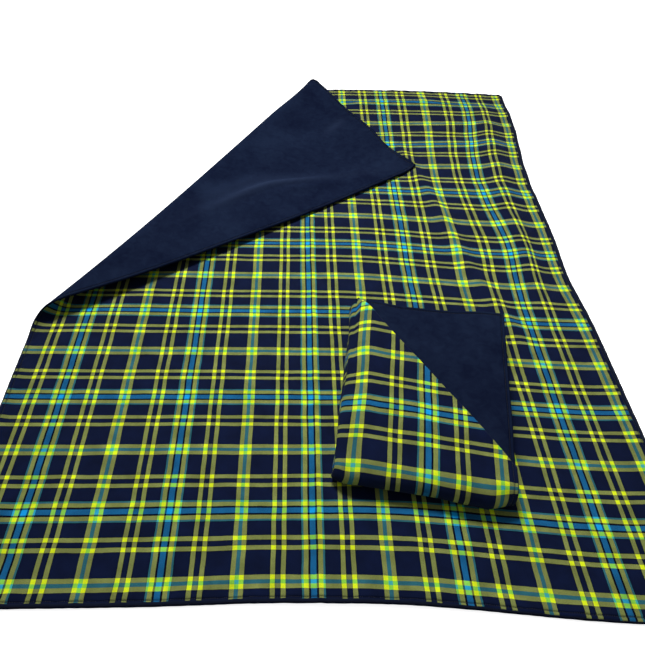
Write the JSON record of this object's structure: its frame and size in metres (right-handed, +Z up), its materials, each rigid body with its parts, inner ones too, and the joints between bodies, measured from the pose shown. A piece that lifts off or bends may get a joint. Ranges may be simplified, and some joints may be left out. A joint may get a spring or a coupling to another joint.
{
  "type": "camp blanket",
  "caption": "Plaid flannel picnic and camp blanket with a fleece backing, lying open with a far corner rolled over, and a matching folded blanket stacked on it.",
  "frame": {"origin": "middle of the open blanket's rectangle, on the plane of its underside", "axes": "+X to the right across the width, +Y away along the length, towards the edge whose left corner is rolled over, +Z up"},
  "size_m": [1.45, 2, 0.085],
  "materials": {
    "plaid_flannel": "brushed cotton flannel, yarn-dyed navy, lime and blue plaid",
    "navy_fleece": "short-pile polyester fleece, navy",
    "navy_thread": "spun polyester sewing thread, navy"
  },
  "bodies": {
    "spread": {"spread_backing": "navy_fleece", "spread_face": "plaid_flannel", "spread_edge_seam": "navy_thread", "spread_topstitch": "navy_thread", "fold_backing": "navy_fleece", "fold_face": "plaid_flannel"},
    "corner": {"corner_backing": "navy_fleece", "corner_face": "plaid_flannel", "corner_edge_seam": "navy_thread", "corner_topstitch": "navy_thread"},
    "folded": {"folded_outer_leaf": "plaid_flannel", "folded_inner_leaf": "plaid_flannel", "folded_back_fold": "plaid_flannel", "folded_front_outer": "plaid_flannel", "folded_front_inner": "plaid_flannel"},
    "folded_upper": {"upper_inner_leaf": "plaid_flannel", "upper_crease_leaf": "plaid_flannel", "upper_hem_leaf": "navy_fleece", "upper_tucked_corner": "navy_fleece", "upper_cover": "plaid_flannel", "upper_topstitch": "navy_thread"}
  },
  "joints": [
    {"name": "corner_fold", "type": "hinge", "parent": "spread", "child": "corner", "pos_m": [-0.19483, 0.73868, 0.02672], "axis": [-0.4421, -0.897, 0], "range_deg": [0, 179], "deforming": ["fold_backing", "fold_face"]},
    {"name": "folded_lift", "type": "slide", "parent": "spread", "child": "folded", "axis": [0, 0, 1], "range_m": [0, 0.3]},
    {"name": "folded_open", "type": "hinge", "parent": "folded", "child": "folded_upper", "pos_m": [0.21305, -0.76491, 0.0485], "axis": [0.9925, -0.1219, 0], "range_deg": [0, 179], "deforming": ["folded_front_outer", "folded_front_inner"]}
  ]
}
